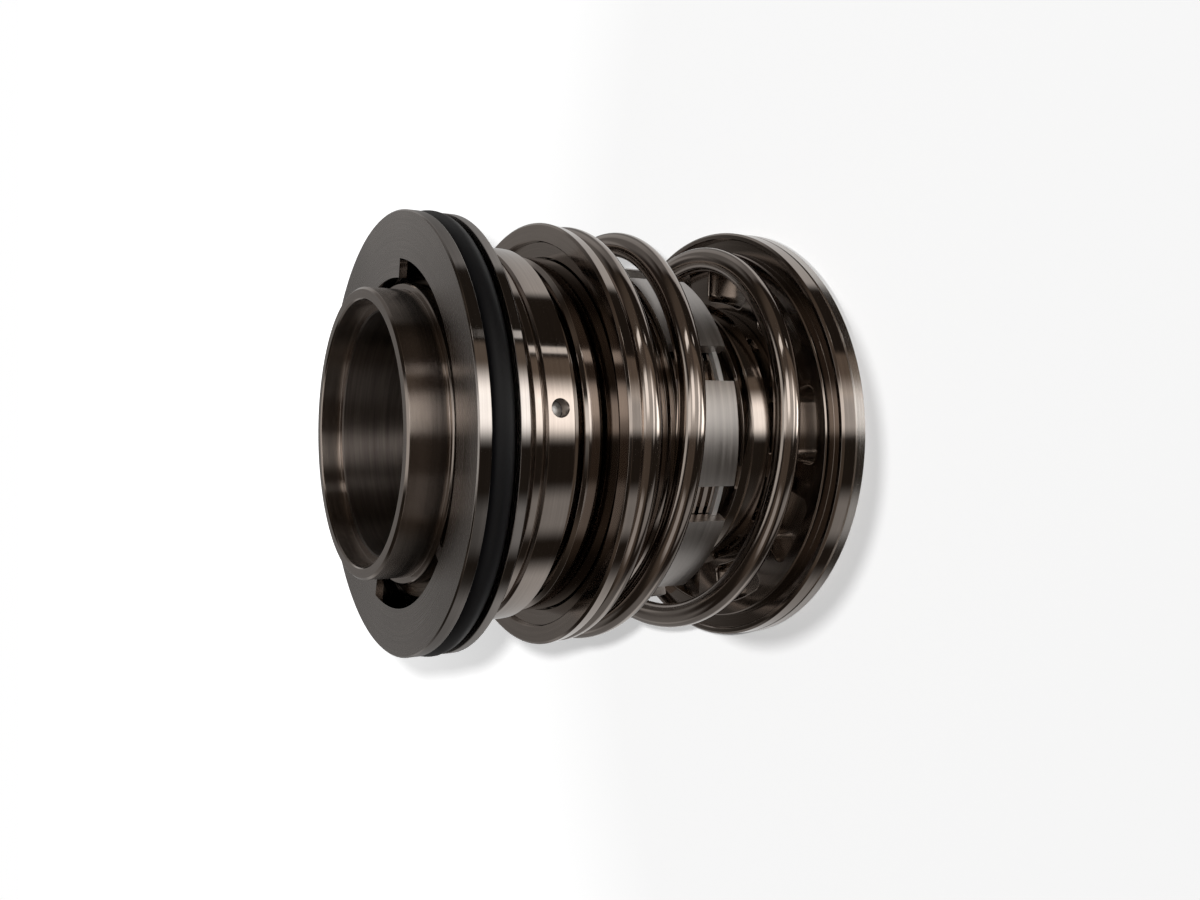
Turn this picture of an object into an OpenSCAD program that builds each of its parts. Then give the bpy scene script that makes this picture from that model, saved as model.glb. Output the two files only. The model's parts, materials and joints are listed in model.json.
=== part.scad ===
// Cartridge mechanical seal, standing on its rear disc with the sleeve nose up.
// Z is the shaft axis, z = 0 is the flat rear face, and angle 0 of every
// pattern points along -Y and grows counterclockwise seen from the nose.

/* [Shaft and sleeve] */
// Diameter of the shaft that the sleeve fits
shaft_d = 55; // [53:0.5:56]
// Wall of the sleeve behind its collar
sleeve_wall = 3; // [2.6:0.1:3.4]
// Wall of the sleeve at its nose
nose_wall = 5; // [4.6:0.1:5.4]
// Height of the nose above the flange
nose_proud = 7.5; // [5:0.5:12]
// Depth of the recess in the nose
nose_recess_depth = 4.8; // [2:0.2:6]
// Wall around the recess in the nose
nose_recess_wall = 2.75; // [2:0.05:3.5]
// Width of the sleeve collar that holds the gland
collar_w = 3.5; // [2.5:0.5:4.5]
// Height of the collar above the nose
collar_h = 1.5; // [1.2:0.1:2]
// Depth of the collar below the flange face
collar_depth = 1.5; // [0.5:0.1:2]

/* [Gland flange] */
// Outer diameter of the flange
flange_d = 100; // [99:0.5:106]
// Width of the flange
flange_w = 11.35; // [11:0.05:14]
// Width of the flange rim in front of its seal groove
front_rim_w = 2.85; // [2:0.05:3.2]
// Width of the flange seal groove
flange_groove_w = 6; // [5.6:0.1:6.4]
// Cord of the flange O-ring
flange_oring_cord = 5.3; // [4.5:0.1:5.5]
// Height of the flange O-ring above the rim
flange_oring_proud = 0.35; // [0.1:0.05:0.8]
// Bore of the flange behind its lip
flange_bore_d = 78.5; // [77:0.5:80]
// Thickness of the lip at the front of the bore
lip_t = 1.8; // [1.2:0.1:2.2]
// Gap between the lip and the sleeve collar
lip_gap = 1; // [0.5:0.1:1.5]
// Chamfer on the front edge of the flange
flange_edge = 0.3; // [0.2:0.1:0.8]
// First angle of the opening in the lip
notch_from = -105; // [-120:1:-60]
// Last angle of the opening in the lip
notch_to = 80; // [40:1:120]
// Angle of the tooth in the opening
tooth_at = -38.5; // [-50:0.5:-20]
// Angular width of the tooth
tooth_w = 5; // [3:0.5:10]
// Height of the tooth
tooth_h = 2; // [1:0.1:3]

/* [Seat holder] */
// Outer diameter of the seat holder
holder_d = 86.9; // [86.5:0.1:90]
// Width of the seat holder behind the flange
holder_w = 13; // [12.6:0.1:15]
// Width of the band with the ports
port_band_w = 6.2; // [5.5:0.1:7]
// Diameter of the ports and pin holes
port_d = 3.8; // [3:0.1:4.4]
// Angle of the first port
port_at = 6.8; // [0:0.2:20]
// Number of ports, each with a pin
port_count = 3; // [2:1:4]
// Depth of the pins in their ports
pin_depth = 2.8; // [2:0.1:3.2]
// Radius of the domed pin ends
pin_dome_r = 5; // [4.5:0.5:8]
// Length of the pins inside the pocket
pin_grip = 3; // [2.5:0.1:3.5]
// Diameter of the spigot in the flange
spigot_d = 82; // [81.5:0.5:83]
// Height of the spigot
spigot_h = 4.4; // [4:0.1:4.6]
// Cord of the O-ring on the spigot
spigot_oring_cord = 1.8; // [1.5:0.1:2]
// Diameter of the pocket for the stationary ring
pocket_d = 78.4; // [78:0.1:79]
// Length of the stationary ring
seat_l = 10.8; // [10.4:0.1:11.5]
// Wall of the stationary ring
seat_wall = 6.3; // [5.8:0.1:6.5]
// Cord of the O-ring round the stationary ring
seat_oring_cord = 2.6; // [2.2:0.1:2.8]
// Outer diameter of the guide bush
bush_d = 70; // [69:0.5:71]
// Outer diameter of the guide bush head
bush_head_d = 74; // [72:0.5:76]

/* [Rotary head] */
// Travel of the head against the spring
head_travel = 6; // [3:0.5:6]
// Outer diameter of the rotary ring
ring_d = 84; // [82:0.5:84.5]
// Height of the rotary ring above the cup
ring_proud = 5.65; // [5:0.05:7]
// Height of the sealing nose on the rotary ring
face_h = 1.6; // [1:0.1:2]
// Width of the sealing face
face_w = 3; // [2:0.1:3.5]
// Distance from the sealing face to the seat holder
holder_gap = 1.45; // [1:0.05:2]
// Outer diameter of the cup rim
cup_d = 100.4; // [99.5:0.1:103]
// Inner diameter of the cup rim at its face
cup_mouth_d = 91.6; // [90.5:0.1:93]
// Width of the cup rim
cup_rim_w = 3.1; // [2.6:0.1:4]
// How much smaller the cup rim is at its rear edge
cup_rim_taper = 0.3; // [0:0.05:0.4]
// Wall of the cup
cup_wall = 1.3; // [1:0.1:1.4]
// Floor of the cup
cup_floor_t = 1.6; // [1.2:0.1:2]
// Depth of the cup behind its rim
cup_drop = 4.25; // [3.9:0.05:5]
// Thickness of the thrust washer
washer_t = 2; // [1.5:0.1:2.4]
// Cord of the O-ring between head and sleeve
head_oring_cord = 4; // [3.5:0.1:4.2]
// Outer diameter of the drive crown
crown_d = 83; // [82:0.5:84]
// Wall of the drive crown
crown_wall = 3; // [2.5:0.1:3.2]
// Length of the drive crown behind the cup
crown_l = 26.6; // [26:0.2:28]
// Length of the slots between the tabs
crown_slot_l = 16; // [12:0.5:18]
// Number of tabs
tab_count = 8; // [6:1:10]
// Angular width of the gaps between the tabs
tab_gap = 12; // [8:1:16]
// Number of grooves round the crown in front of its tabs
crown_groove_count = 4; // [2:1:4]
// Depth of the grooves round the crown
crown_groove_depth = 1; // [0.6:0.1:1.3]
// Number of ridges round the inner carrier
ridge_count = 5; // [3:1:5]
// Diameter of the drive pins
drive_pin_d = 4; // [3:0.1:4.5]

/* [Spring] */
// Wire diameter of the spring
wire_d = 6; // [5.7:0.05:6.2]
// Mean diameter of the spring
spring_d = 93.8; // [93.6:0.1:94]
// Length of the spring as fitted
spring_l = 50.55; // [48:0.25:55]
// Closed turns at the cup
front_turns = 1.086; // [1:0.002:1.2]
// Open turns
open_turns = 1.595; // [1.4:0.005:2]
// Turns that lie flat on the spring plate
rear_turns = 0.341; // [0.3:0.001:0.5]
// Gap between the closed turns at the cup
turn_gap = 0.1; // [0.05:0.05:0.2]
// How much narrower the spring is at the spring plate
spring_taper = 1.25; // [0:0.05:1.5]
// How far the open turns lean forward at angle 90
spring_lean = 1.8; // [0:0.1:2]
// Angle of the wire end at the cup
wire_end_at = -120; // [-150:5:-100]

/* [Rear end] */
// Thickness of the rear disc
disc_t = 3.6; // [3.2:0.1:4.5]
// Outer diameter of the rear disc and spring plate
rear_d = 105.6; // [105:0.1:107]
// Chamfer on the rear edge of the rear disc
rear_edge = 1; // [0.4:0.1:1.4]
// Thickness of the spring plate in the groove behind its rim
plate_floor_t = 2.2; // [2:0.1:2.8]
// Outer diameter of the seat for the spring, inside that groove
spring_seat_d = 95.8; // [95:0.1:96.6]
// Height of the spring plate rim
plate_rim_h = 4; // [3.4:0.1:4.6]
// Wall of the spring plate rim
rim_wall = 1.7; // [1.4:0.1:2.2]
// Height of the spring seat and the spokes
web_h = 4.7; // [4.4:0.1:5]
// Number of windows in the spring plate
window_count = 10; // [8:1:12]
// Angular width of each window
window_w = 24; // [18:1:26]
// Angle of the first spoke
spoke_at = -51.25; // [-60:0.25:-40]
// Inner diameter of the windows
window_inner_d = 70; // [69:0.5:72]
// Outer diameter of the windows
window_outer_d = 89; // [87:0.2:89.4]
// Corner radius of the windows
window_round = 2; // [1.8:0.1:2.4]
// Outer diameter of the lock collar and stop ring
lock_d = 69; // [68:0.5:70]
// Width of the lock collar
lock_w = 5.3; // [5:0.1:6]
// Width of the stop ring
stop_w = 2.8; // [2:0.1:3]
// Front of the stop ring above the rear face
stop_z = 21; // [20:0.1:21.4]
// Slope of the outside of lock collar and stop ring
hub_taper = 8; // [0:1:10]
// Diameter of the set screws
set_screw_d = 3; // [2.5:0.1:3.5]
// Number of screws in the rear disc
plate_screw_count = 5; // [5:5:10]
// Diameter of the screws in the rear disc
plate_screw_d = 3; // [2.5:0.1:3.5]
// Height of the heads of these screws
plate_screw_head_h = 1.8; // [1.5:0.1:2.2]
// Depth of these heads below the rear face
plate_screw_sink = 0.25; // [0.1:0.05:0.4]

/* [Fits] */
// Radial clearance of parts that run on the sleeve
run_fit = 0.08; // [0.05:0.01:0.1]
// Radial clearance between parts that must not touch
free_gap = 0.3; // [0.25:0.05:0.5]
// Radial clearance of seated parts
seat_fit = 0.05; // [0.02:0.01:0.08]
// Film gap between the sealing faces
face_gap = 0.05; // [0.03:0.01:0.1]
// Extra width of the grooves beside their O-rings
groove_room = 0.6; // [0.4:0.1:0.8]

/* [Hidden] */
fine = 96;
chamfer = 0.5;
edge = 0.3;
face_chamfer = 0.8;
overcut = 1;

// Heights along the shaft axis, from the rear face up
floor_z = disc_t + plate_floor_t;
rim_z = disc_t + plate_rim_h;
web_z = disc_t + web_h;
cup_z = web_z + spring_l;
cup_front_z = cup_z + cup_rim_w;
ring_z = cup_front_z + ring_proud;
face_z = ring_z + face_h;
seat_z = face_z + face_gap;
holder_z = face_z + holder_gap;
port_z = holder_z + port_band_w / 2 + edge;
pocket_z = seat_z + seat_l;
flange_z = holder_z + holder_w;
spigot_z = flange_z + spigot_h;
front_z = flange_z + flange_w;
nose_z = front_z + nose_proud;
collar_top_z = front_z - collar_depth;
collar_z = collar_top_z - collar_w;
cup_bottom_z = cup_z - cup_drop;
cup_floor_z = cup_bottom_z + cup_floor_t;
ring_bottom_z = cup_floor_z + washer_t;

// Radii of the sleeve and of what rides on it
bore_r = shaft_d / 2;
sleeve_r = bore_r + sleeve_wall;
nose_r = bore_r + nose_wall;
nose_recess_r = nose_r - nose_recess_wall;
collar_r = nose_r + collar_h;
run_r = sleeve_r + run_fit;
free_r = sleeve_r + free_gap;
seated_r = sleeve_r + seat_fit;

// Gland
flange_r = flange_d / 2;
flange_bore_r = flange_bore_d / 2;
lip_r = collar_r + lip_gap;
flange_groove_r = flange_r + flange_oring_proud - flange_oring_cord;
flange_groove_z = front_z - front_rim_w - flange_groove_w;
holder_r = holder_d / 2;
spigot_r = spigot_d / 2;
pocket_r = pocket_d / 2;
seat_r = pocket_r - seat_fit * 4;
seat_bore_r = seat_r - seat_wall;
seat_step_r = pocket_r - seat_oring_cord - 2 * seat_fit;
seat_oring_room = 0.5;
seat_step_h = seat_oring_cord + seat_oring_room;
seat_land = 0.5;
seat_relief = 0.6;
bush_r = bush_d / 2;
port_band_z = holder_z + port_band_w;
band_groove_w = 0.8;
band_groove_depth = 1.1;
band_w = 1.6;
neck_depth = 0.9;
pin_inner_r = pocket_r - pin_grip;
pin_outer_r = holder_r - pin_depth;
pin_end_gap = 0.2;
spigot_oring_z = flange_z + spigot_h / 2;
spigot_groove_w = spigot_oring_cord + groove_room;

// Head
ring_r = ring_d / 2;
ring_bore_gap = 0.8;
ring_bore_r = sleeve_r + ring_bore_gap;
face_shift = 0.35;
face_slope = 0.4;
face_r = (ring_bore_r + ring_r) / 2 + face_shift;
cup_r = cup_d / 2;
cup_mouth_r = cup_mouth_d / 2;
wire_r = wire_d / 2;
spring_r = spring_d / 2;
cup_hub_r = spring_r - wire_r - free_gap;
cup_bore_r = cup_hub_r - cup_wall;
cup_foot_chamfer = 1;
head_oring_r = run_r + head_oring_cord / 2;
head_oring_z = ring_bottom_z + head_oring_cord / 2 + seat_fit;
oring_pocket_r = run_r + head_oring_cord + free_gap;
oring_pocket_h = head_oring_cord + free_gap;
washer_r = cup_bore_r - free_gap;
crown_r = crown_d / 2;
crown_bore_r = crown_r - crown_wall;
crown_end_z = cup_bottom_z - crown_l;
crown_shoulder_t = 3.1;
crown_shoulder_w = 2.5;
crown_shoulder_r = crown_bore_r - crown_shoulder_w;
spigot_in_cup_r = crown_bore_r;
clip_w = 1.3;
clip_rise = 1.2;
clip_z = crown_end_z + clip_rise;
clip_depth = 0.7;
crown_clip_gap = 4;
carrier_z = clip_z + clip_w;
carrier_top_z = cup_bottom_z - crown_shoulder_t;
carrier_r = crown_bore_r - free_gap;
ridge_w = 1.1;
ridge_pitch = 2.2;
ridge_depth = 1.4;
drive_pin_z = carrier_z + (carrier_top_z - carrier_z) / 2;
drive_pin_base_r = bore_r + sleeve_wall / 2;
drive_pin_sink = 1.2;
drive_pin_end_r = carrier_r - drive_pin_sink;
drive_slot_w = drive_pin_d + 2 * free_gap;

// Spring: closed turns at the cup, open turns, and an end that lies flat on the plate
closed_pitch = wire_d + turn_gap;
ground = 0.9;
total_turns = front_turns + open_turns + rear_turns;
opens_at = 360 * front_turns;
closes_at = 360 * (front_turns + open_turns);
spring_fall = spring_l - 2 * ground;
open_pitch = (spring_fall - closed_pitch * front_turns) / open_turns;
blend_w = 40;
taper_from = 730;
taper_w = 180;
lean_w = 519;
rings_per_turn = 30;
wire_sides = 14;
ring_total = round(total_turns * rings_per_turn);

// Rear end
rear_r = rear_d / 2;
spring_seat_r = spring_seat_d / 2;
rim_bore_r = rear_r - rim_wall;
recess_w = 5.7;
recess_r = sleeve_r + recess_w;
recess_t = 2.2;
sleeve_end_z = 0.3;
clip_groove_depth = 0.9;
rear_clip_w = 1.25;
rear_clip_z = recess_t - rear_clip_w;
rear_clip_h = 3.3;
rear_clip_r = sleeve_r + rear_clip_h;
lock_r = lock_d / 2;
lock_top_z = stop_z - stop_w;
lock_z = lock_top_z - lock_w;
spacer_wall = 2.5;
spacer_r = sleeve_r + spacer_wall;
hub_chamfer = 1;
set_screw_z = lock_z + lock_w / 2;
set_screw_angles = [135, 225];
set_screw_tip_gap = 0.2;
set_screw_sink = 0.4;
set_screw_tip_r = bore_r + set_screw_tip_gap;
set_screw_end_r = hub_r(set_screw_z) - set_screw_sink;
sleeve_oring_cord = 1.8;
sleeve_groove_w = sleeve_oring_cord + groove_room;
sleeve_groove_rise = 2.8;
sleeve_groove_z = disc_t + sleeve_groove_rise;
plate_screw_r = (window_inner_d + window_outer_d) / 4;
plate_screw_head_d = 2 * plate_screw_d;
plate_screw_cover = 0.8;
plate_screw_l = web_z - plate_screw_cover;
plate_screw_play = 0.4;
spring_ring_step = 360 * total_turns / ring_total;

function corner(u, at, w) = u < at - w ? 0 : u > at + w ? u - at : pow(u - at + w, 2) / (4 * w);
function wire_z(u) = cup_z - ground - closed_pitch * u / 360
    - (open_pitch - closed_pitch) / 360 * corner(u, opens_at, blend_w)
    + open_pitch / 360 * corner(u, closes_at, blend_w)
    + spring_lean * sin(wire_end_at + u) * pow(sin(180 * share(u, opens_at, lean_w)), 2);
function share(u, from, width) = min(1, max(0, (u - from) / width));
function clamp_z(z) = min(cup_z, max(web_z, z));
function turn_r(u) = spring_r - spring_taper * share(u, taper_from, taper_w);
function wire_point(u, v) = [
    (turn_r(u) + wire_r * cos(v)) * cos(wire_end_at - 90 + u),
    (turn_r(u) + wire_r * cos(v)) * sin(wire_end_at - 90 + u),
    clamp_z(wire_z(u) + wire_r * sin(v))];

// Radius of the tapered hub at a height
function hub_r(z) = lock_r - (z - lock_z) * tan(hub_taper);

// Turned part: points are [radius, height]
module turned(points) {
    rotate_extrude($fn = fine) polygon(points);
}

// Plain ring with both edges broken on the outside
module plain_ring(inner, outer, z_low, z_high, broken = edge) {
    turned([[inner, z_low], [outer - broken, z_low], [outer, z_low + broken],
            [outer, z_high - broken], [outer - broken, z_high], [inner, z_high]]);
}

module cord_ring(mean, cord, z) {
    translate([0, 0, z]) rotate_extrude($fn = fine) translate([mean, 0]) circle(d = cord, $fn = 32);
}

// Turns what stands on +X to a pattern angle
module at(angle) {
    rotate([0, 0, angle - 90]) children();
}

// What a square groove takes off a turned outside, from its lower edge up
module ring_groove(outer, depth, z) {
    turned([[outer - depth, z], [outer + overcut, z], [outer + overcut, z + ridge_pitch - ridge_w],
            [outer - depth, z + ridge_pitch - ridge_w]]);
}

module radial_rod(angle, d, r_low, r_high, z) {
    at(angle) translate([r_low, 0, z]) rotate([0, 90, 0]) cylinder(d = d, h = r_high - r_low, $fn = 32);
}

// Piece of a flat ring between two radii, over an angle centred on +X
module ring_sector(inner, outer, width) {
    reach = outer * 1.2;
    steps = ceil(width / 30);
    intersection() {
        difference() {
            circle(r = outer, $fn = fine);
            circle(r = inner, $fn = fine);
        }
        polygon(concat([[0, 0]], [for (k = [0 : steps])
            let (angle = (k / steps - 0.5) * width) [reach * cos(angle), reach * sin(angle)]]));
    }
}

module window_shape() {
    inner = window_inner_d / 2;
    outer = window_outer_d / 2;
    middle = (inner + outer) / 2;
    outer_trim = asin(window_round / (outer - window_round));
    inner_trim = asin(window_round / (inner + window_round));
    ring_sector(inner + window_round, outer - window_round, window_w);
    ring_sector(middle, outer, window_w - 2 * outer_trim);
    ring_sector(inner, middle, window_w - 2 * inner_trim);
    for (side = [-1, 1]) {
        rotate(side * (window_w / 2 - outer_trim)) translate([outer - window_round, 0])
            circle(r = window_round, $fn = 32);
        rotate(side * (window_w / 2 - inner_trim)) translate([inner + window_round, 0])
            circle(r = window_round, $fn = 32);
    }
}

module shaft_sleeve() {
    groove_r = bore_r + sleeve_oring_cord + 2 * seat_fit;
    color("dimgray") difference() {
        turned([[bore_r + edge, sleeve_end_z], [sleeve_r - edge, sleeve_end_z],
                [sleeve_r, sleeve_end_z + edge], [sleeve_r, rear_clip_z],
                [sleeve_r - clip_groove_depth, rear_clip_z],
                [sleeve_r - clip_groove_depth, recess_t], [sleeve_r, recess_t],
                [sleeve_r, collar_z], [collar_r - edge, collar_z], [collar_r, collar_z + edge],
                [collar_r, collar_top_z - edge], [collar_r - edge, collar_top_z], [nose_r, collar_top_z],
                [nose_r, nose_z - chamfer], [nose_r - chamfer, nose_z], [nose_recess_r + edge, nose_z],
                [nose_recess_r, nose_z - edge], [nose_recess_r, nose_z - nose_recess_depth],
                [bore_r + edge, nose_z - nose_recess_depth], [bore_r, nose_z - nose_recess_depth - edge],
                [bore_r, sleeve_groove_z + sleeve_groove_w], [groove_r, sleeve_groove_z + sleeve_groove_w],
                [groove_r, sleeve_groove_z], [bore_r, sleeve_groove_z], [bore_r, sleeve_end_z + edge]]);
        for (angle = [-90, 90])
            radial_rod(angle, drive_pin_d + 2 * seat_fit, drive_pin_base_r, sleeve_r + overcut, drive_pin_z);
        for (angle = set_screw_angles)
            radial_rod(angle, set_screw_d + 2 * seat_fit, bore_r - overcut, sleeve_r + overcut, set_screw_z);
    }
}

module sleeve_oring() {
    color("black") cord_ring(bore_r + sleeve_oring_cord / 2 + seat_fit, sleeve_oring_cord,
                             sleeve_groove_z + sleeve_groove_w / 2);
}

module drive_pins() {
    color("silver") for (angle = [-90, 90])
        radial_rod(angle, drive_pin_d, drive_pin_base_r, drive_pin_end_r, drive_pin_z);
}

module stop_ring() {
    base_r = hub_r(lock_top_z);
    top_r = hub_r(stop_z);
    color("gray") turned([[seated_r, lock_top_z], [base_r - edge, lock_top_z], [base_r, lock_top_z + edge],
                          [top_r, stop_z - chamfer], [top_r - chamfer, stop_z], [seated_r, stop_z]]);
}

module lock_collar() {
    top_r = hub_r(lock_top_z);
    color("gray") difference() {
        turned([[seated_r, lock_z], [lock_r - hub_chamfer, lock_z],
                [hub_r(lock_z + hub_chamfer), lock_z + hub_chamfer], [top_r, lock_top_z - edge],
                [top_r - edge, lock_top_z], [seated_r, lock_top_z]]);
        for (angle = set_screw_angles)
            radial_rod(angle, set_screw_d + 2 * seat_fit, sleeve_r - overcut, lock_r + overcut, set_screw_z);
    }
}

module set_screws() {
    socket_af = set_screw_d / 2;
    socket_depth = set_screw_d / 2;
    color("silver") for (angle = set_screw_angles) difference() {
        radial_rod(angle, set_screw_d, set_screw_tip_r, set_screw_end_r, set_screw_z);
        at(angle) translate([set_screw_end_r - socket_depth, 0, set_screw_z]) rotate([0, 90, 0])
            cylinder(d = socket_af, h = socket_depth + overcut, $fn = 6);
    }
}

module hub_spacer() {
    color("dimgray") plain_ring(seated_r, spacer_r, web_z, lock_z);
}

module spring_plate() {
    color("dimgray") difference() {
        turned([[seated_r, disc_t], [rear_r - edge, disc_t], [rear_r, disc_t + edge],
                [rear_r, rim_z - chamfer], [rear_r - chamfer, rim_z], [rim_bore_r + edge, rim_z],
                [rim_bore_r, rim_z - edge], [rim_bore_r, floor_z], [spring_seat_r, floor_z],
                [spring_seat_r, web_z - edge], [spring_seat_r - edge, web_z], [seated_r, web_z]]);
        for (i = [0 : window_count - 1])
            at(spoke_at + (i + 0.5) * 360 / window_count) translate([0, 0, disc_t - overcut])
                linear_extrude(height = web_h + 2 * overcut) window_shape();
        for (i = [0 : plate_screw_count - 1])
            at(spoke_at + i * 360 / plate_screw_count) translate([plate_screw_r, 0, disc_t - overcut])
                cylinder(d = plate_screw_d + 2 * seat_fit,
                         h = plate_screw_l + plate_screw_play - disc_t + overcut, $fn = 32);
    }
}

module rear_disc() {
    color("gray") difference() {
        turned([[recess_r, 0], [rear_r - rear_edge, 0], [rear_r, rear_edge], [rear_r, disc_t - edge],
                [rear_r - edge, disc_t], [seated_r, disc_t], [seated_r, recess_t], [recess_r, recess_t]]);
        for (i = [0 : plate_screw_count - 1])
            at(spoke_at + i * 360 / plate_screw_count) translate([plate_screw_r, 0, 0]) {
                translate([0, 0, -overcut])
                    cylinder(d = plate_screw_d + 2 * seat_fit, h = disc_t + 2 * overcut, $fn = 32);
                translate([0, 0, -overcut])
                    cylinder(d = plate_screw_head_d + 2 * seat_fit,
                             h = plate_screw_head_h + overcut, $fn = 32);
            }
    }
}

module rear_snap_ring() {
    gap = 16;
    color("silver") difference() {
        plain_ring(sleeve_r - clip_groove_depth + seat_fit, rear_clip_r, rear_clip_z, recess_t, 0.1);
        at(180) translate([0, 0, -overcut]) linear_extrude(height = recess_t + 2 * overcut)
            ring_sector(bore_r, rear_clip_r + overcut, gap);
    }
}

module plate_screws() {
    socket_af = plate_screw_d * 0.6;
    color("silver") for (i = [0 : plate_screw_count - 1])
        at(spoke_at + i * 360 / plate_screw_count) translate([plate_screw_r, 0, plate_screw_sink])
            difference() {
                union() {
                    cylinder(d = plate_screw_head_d, h = plate_screw_head_h - plate_screw_sink, $fn = 32);
                    cylinder(d = plate_screw_d, h = plate_screw_l - plate_screw_sink, $fn = 32);
                }
                translate([0, 0, -overcut])
                    cylinder(d = socket_af, h = overcut + plate_screw_head_h / 2, $fn = 6);
            }
}

module main_spring() {
    points = [for (i = [0 : ring_total], j = [0 : wire_sides - 1])
              wire_point(i * spring_ring_step, j * 360 / wire_sides)];
    sides = [for (i = [0 : ring_total - 1], j = [0 : wire_sides - 1])
             let (k = (j + 1) % wire_sides, low = i * wire_sides, high = low + wire_sides)
             [low + j, high + j, high + k, low + k]];
    first_end = [for (j = [0 : wire_sides - 1]) j];
    last_end = [for (j = [wire_sides - 1 : -1 : 0]) ring_total * wire_sides + j];
    color("dimgray") polyhedron(points = points, faces = concat(sides, [first_end, last_end]),
                                convexity = 6);
}

module rotary_ring() {
    inner = face_r - face_w / 2;
    outer = face_r + face_w / 2;
    color("darkslategray") turned([[oring_pocket_r, ring_bottom_z], [ring_r, ring_bottom_z],
        [ring_r, ring_z - face_chamfer], [ring_r - face_chamfer, ring_z], [outer + face_slope, ring_z],
        [outer, face_z], [inner, face_z], [inner - face_slope, ring_z], [ring_bore_r, ring_z],
        [ring_bore_r, ring_bottom_z + oring_pocket_h], [oring_pocket_r, ring_bottom_z + oring_pocket_h]]);
}

module head_cup() {
    rim_rear_r = cup_r - cup_rim_taper;
    color("dimgray") turned([[spigot_in_cup_r + seat_fit, cup_bottom_z],
        [cup_hub_r - cup_foot_chamfer, cup_bottom_z], [cup_hub_r, cup_bottom_z + cup_foot_chamfer],
        [cup_hub_r, cup_z], [rim_rear_r - edge, cup_z], [rim_rear_r, cup_z + edge],
        [cup_r, cup_front_z - chamfer], [cup_r - chamfer, cup_front_z], [cup_mouth_r + edge, cup_front_z],
        [cup_mouth_r, cup_front_z - edge], [cup_mouth_r, cup_z + cup_wall],
        [cup_bore_r, cup_z + cup_wall / 2], [cup_bore_r, cup_floor_z],
        [spigot_in_cup_r + seat_fit, cup_floor_z]]);
}

module head_oring() {
    color("black") cord_ring(head_oring_r, head_oring_cord, head_oring_z);
}

module thrust_washer() {
    color("silver") plain_ring(run_r, washer_r, cup_floor_z, ring_bottom_z);
}

module drive_crown() {
    color("darkgray") difference() {
        turned([[crown_bore_r, crown_end_z], [crown_r - edge, crown_end_z], [crown_r, crown_end_z + edge],
                [crown_r, cup_bottom_z], [spigot_in_cup_r, cup_bottom_z], [spigot_in_cup_r, cup_floor_z],
                [crown_shoulder_r, cup_floor_z], [crown_shoulder_r, carrier_top_z],
                [crown_bore_r, carrier_top_z], [crown_bore_r, carrier_z],
                [crown_bore_r + clip_depth, carrier_z], [crown_bore_r + clip_depth, clip_z],
                [crown_bore_r, clip_z]]);
        for (i = [0 : tab_count - 1])
            at((i + 0.5) * 360 / tab_count) translate([0, 0, crown_end_z - overcut])
                linear_extrude(height = crown_slot_l + overcut)
                    ring_sector(crown_bore_r - overcut, crown_r + overcut, tab_gap);
        for (i = [0 : crown_groove_count - 1])
            ring_groove(crown_r, crown_groove_depth,
                        crown_end_z + crown_slot_l + ridge_w + i * ridge_pitch);
    }
}

module inner_carrier() {
    color("gray") difference() {
        turned([[free_r, carrier_z], [carrier_r - edge, carrier_z], [carrier_r, carrier_z + edge],
                [carrier_r, carrier_top_z], [free_r, carrier_top_z]]);
        for (i = [0 : ridge_count - 1])
            ring_groove(carrier_r, ridge_depth, carrier_z + ridge_w + i * ridge_pitch);
        for (angle = [-90, 90]) {
            radial_rod(angle, drive_slot_w, bore_r, carrier_r + overcut, drive_pin_z);
            radial_rod(angle, drive_slot_w, bore_r, carrier_r + overcut, drive_pin_z + head_travel);
            at(angle) translate([bore_r, -drive_slot_w / 2, drive_pin_z])
                cube([carrier_r - bore_r + overcut, drive_slot_w, head_travel]);
        }
    }
}

module crown_clip() {
    gap = 10;
    color("silver") difference() {
        plain_ring(free_r + crown_clip_gap, crown_bore_r + clip_depth - seat_fit, clip_z, carrier_z, 0.1);
        at(180) translate([0, 0, clip_z - overcut]) linear_extrude(height = clip_w + 2 * overcut)
            ring_sector(free_r, crown_r, gap);
    }
}

module flange_lip(from, to, inner) {
    at((from + to) / 2) translate([0, 0, front_z - lip_t])
        linear_extrude(height = lip_t) ring_sector(inner, flange_bore_r + overcut, to - from);
}

module flange_ring() {
    groove_top_z = flange_groove_z + flange_groove_w;
    color("dimgray") {
        turned([[spigot_r, flange_z], [flange_r - chamfer, flange_z], [flange_r, flange_z + chamfer],
                [flange_r, flange_groove_z], [flange_groove_r, flange_groove_z],
                [flange_groove_r, groove_top_z], [flange_r, groove_top_z],
                [flange_r, front_z - flange_edge], [flange_r - flange_edge, front_z],
                [flange_bore_r, front_z], [flange_bore_r, spigot_z], [spigot_r, spigot_z]]);
        flange_lip(notch_to, notch_from + 360, lip_r);
        flange_lip(tooth_at - tooth_w / 2, tooth_at + tooth_w / 2, flange_bore_r - tooth_h);
    }
}

module flange_oring() {
    color("black") cord_ring(flange_groove_r + flange_oring_cord / 2, flange_oring_cord - 2 * seat_fit,
                             flange_groove_z + flange_groove_w / 2);
}

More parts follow.
